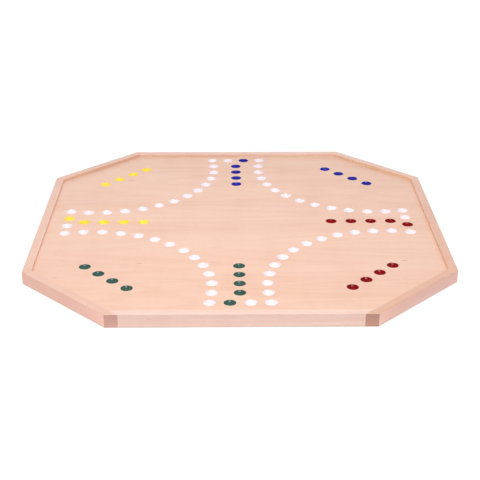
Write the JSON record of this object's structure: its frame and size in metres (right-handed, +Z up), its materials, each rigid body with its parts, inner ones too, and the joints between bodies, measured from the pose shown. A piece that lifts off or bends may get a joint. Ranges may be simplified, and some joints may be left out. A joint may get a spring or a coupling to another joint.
{
  "type": "four-player marble race board",
  "caption": "Octagonal framed wooden race game board: lacquered maple panel with painted dished marble sockets in a cross-shaped track, finish columns and corner home rows.",
  "frame": {"origin": "middle of the board's underside, on the surface that it rests on", "axes": "+X to the right along the front rail, +Y away from the front player, +Z up out of the playing face"},
  "size_m": [0.6096, 0.6076, 0.0191],
  "materials": {
    "rail_maple": "clear satin lacquer",
    "face_maple": "clear satin lacquer",
    "back_maple": "clear satin lacquer",
    "panel_core": "bare fibreboard",
    "white_enamel": "brushed gloss enamel paint",
    "green_enamel": "brushed gloss enamel paint",
    "red_enamel": "brushed gloss enamel paint",
    "blue_enamel": "brushed gloss enamel paint",
    "yellow_enamel": "brushed gloss enamel paint"
  },
  "bodies": {
    "root": {"front_rail": "rail_maple", "back_rail": "rail_maple", "left_rail": "rail_maple", "right_rail": "rail_maple", "front_left_rail": "rail_maple", "front_right_rail": "rail_maple", "back_left_rail": "rail_maple", "back_right_rail": "rail_maple", "playing_face_veneer": "face_maple", "back_face_veneer": "back_maple", "panel_core": "panel_core", "white_track_enamel": "white_enamel", "green_start_enamel": "green_enamel", "green_finish_enamel": "green_enamel", "green_home_enamel": "green_enamel", "red_start_enamel": "red_enamel", "red_finish_enamel": "red_enamel", "red_home_enamel": "red_enamel", "blue_start_enamel": "blue_enamel", "blue_finish_enamel": "blue_enamel", "blue_home_enamel": "blue_enamel", "yellow_start_enamel": "yellow_enamel", "yellow_finish_enamel": "yellow_enamel", "yellow_home_enamel": "yellow_enamel"}
  },
  "joints": []
}
